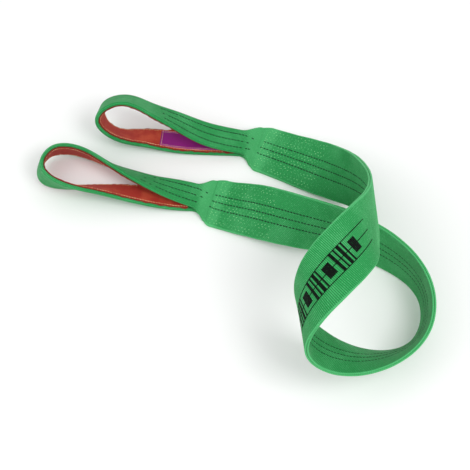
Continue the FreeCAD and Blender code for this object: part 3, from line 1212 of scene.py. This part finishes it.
@dataclass
class Label:
    """The blank rating label on the lining of the far eye's lower leg, and its sewing."""

    eye: Eye
    length: float = 0.105
    width: float = 0.033
    thickness: float = 0.0006
    start: float = 0.065
    swell: float = 0.00025
    thread: Thread = Thread(length=0.0028, width=0.0009, height=0.0006)
    seam_inset: float = 0.0025
    stitch_pitch: float = 0.0036

    def build(self) -> None:
        """Build the label and sew it along its two long edges and across both ends."""
        course = self.eye.course
        _, end = course.span(self.eye.span)
        last = end - self.start
        first = last - self.length
        half = self.width / 2.0
        columns = np.linspace(-half, half, 13)
        section = StripSection(half, self.thickness / 2.0, columns, edge=0.0003)
        across, lift, _ = section.ring()
        rows = np.linspace(first, last, 76)
        face = -EYE_FACE - LINING_GAP - LINING_THICKNESS - 0.0006
        swell = self.swell * np.abs(ripple(rows, (0.019, 0.047), 0.9))[:, None]
        distance = rows[:, None] + 0 * across[None, :]
        points = course.place(distance, across[None, :] + 0 * distance, face + lift[None, :] - swell)
        faces = tube_faces(len(rows), len(across), len(columns))
        marks = {"along": distance, "across": across[None, :]}
        piece = make_piece("rating_label_patch", points, faces, marks)
        dress(piece, self.eye.finishes.label)
        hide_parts("rating_label")
        self.eye.flex(piece)
        sewing = self._sewing(first, last, half - self.seam_inset, face - self.thickness / 2.0 - 0.0002)

    def _sewing(self, first: float, last: float, reach: float, face: float) -> bpy.types.Object:
        """Sew round the label's edge.

        Args:
            first: distance at which the label starts.
            last: distance at which it ends.
            reach: how far the long rows lie from its middle line.
            face: lift of the stitches.

        Returns:
            The stitches, as one piece.
        """
        starts = (first + self.seam_inset, last - self.seam_inset)
        distance = np.arange(*starts, self.stitch_pitch)
        lanes = np.arange(-reach, reach, self.stitch_pitch)
        rows = [StitchRow(distance, side * reach, face, 0.0, inward=True) for side in (-1.0, 1.0)]
        rows += [StitchRow(where, lanes, face, math.pi / 2, inward=True) for where in starts]
        piece = self.thread.sew("label_sewing", StitchRow.joined(rows), self.eye.course.place)
        dress(piece, self.eye.finishes.pale_thread)
        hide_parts("label_stitches")
        self.eye.flex(piece)
        return piece


@dataclass(frozen=True)
class Lamp:
    """A square soft light."""

    name: str
    place: tuple
    power: float
    size: float

    def hang(self, target: tuple) -> None:
        """Hang the lamp at its place, facing a target."""
        data = bpy.data.lights.new(self.name, "AREA")
        data.energy = self.power
        data.size = self.size
        light = bpy.data.objects.new(self.name, data)
        light.location = self.place
        away = np.array(self.place) - np.array(target)
        flat = math.hypot(away[0], away[1])
        light.rotation_euler = (math.atan2(flat, away[2]), 0.0, math.atan2(away[1], away[0]) + math.pi / 2)
        bpy.context.scene.collection.objects.link(light)


@dataclass(frozen=True)
class Studio:
    """Pale floor, soft lights and the camera."""

    floor_size: float = 30.0
    floor_colour: tuple = (0.9, 0.9, 0.9, 1.0)
    floor_roughness: float = 0.8
    world_strength: float = 0.82
    lamps: tuple = (
        Lamp("key", (1.0, -0.7, 1.9), power=18.0, size=0.9),
        Lamp("fill", (-1.4, -0.3, 1.5), power=9.0, size=1.6),
    )
    lamps_face: tuple = (0.0, 0.0, 0.08)
    camera_place: tuple = (0.0395, -0.9495, 1.9434)
    camera_tilt: float = math.radians(90.0 - 60.03)
    lens: float = 99.57
    sensor: float = 36.0
    shift: tuple = (-0.0343, -0.1587)

    def build(self) -> None:
        """Make the floor, the world, the lights and the camera."""
        self._floor()
        world = bpy.data.worlds.new("studio")
        world.use_nodes = True
        background = world.node_tree.nodes["Background"]
        background.inputs["Color"].default_value = (1.0, 1.0, 1.0, 1.0)
        background.inputs["Strength"].default_value = self.world_strength
        bpy.context.scene.world = world
        bpy.context.scene.view_settings.view_transform = "Standard"
        for lamp in self.lamps:
            lamp.hang(self.lamps_face)
        self._camera()

    def _camera(self) -> None:
        """Stand the camera in front of the sling, looking down at it."""
        camera = bpy.data.objects.new("camera", bpy.data.cameras.new("camera"))
        camera.data.lens = self.lens
        camera.data.sensor_width = self.sensor
        camera.data.shift_x, camera.data.shift_y = self.shift
        camera.location = self.camera_place
        camera.rotation_euler = (self.camera_tilt, 0.0, 0.0)
        bpy.context.scene.collection.objects.link(camera)
        bpy.context.scene.camera = camera

    def _floor(self) -> None:
        """Lay a plain pale floor under the sling."""
        half = self.floor_size / 2.0
        mesh = bpy.data.meshes.new("floor")
        square = [(-half, -half, 0), (half, -half, 0), (half, half, 0), (-half, half, 0)]
        mesh.from_pydata(square, [], [(0, 1, 2, 3)])
        floor = bpy.data.objects.new("floor", mesh)
        mesh.materials.append(Graph("pale_floor").finish(self.floor_colour, self.floor_roughness))
        bpy.context.scene.collection.objects.link(floor)


def main() -> None:
    """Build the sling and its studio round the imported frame."""
    logging.basicConfig(level=logging.INFO, format="%(name)s %(message)s")
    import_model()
    course = Course()
    finishes = Finishes()
    Body(course, finishes).build()
    Eye(course, finishes, "near", Span.NEAR_EYE, tracer_length=0.125).build()
    far_eye = Eye(course, finishes, "far", Span.FAR_EYE, tracer_length=0.190)
    far_eye.build()
    Label(far_eye).build()
    Studio().build()


if __name__ == "__main__":
    main()
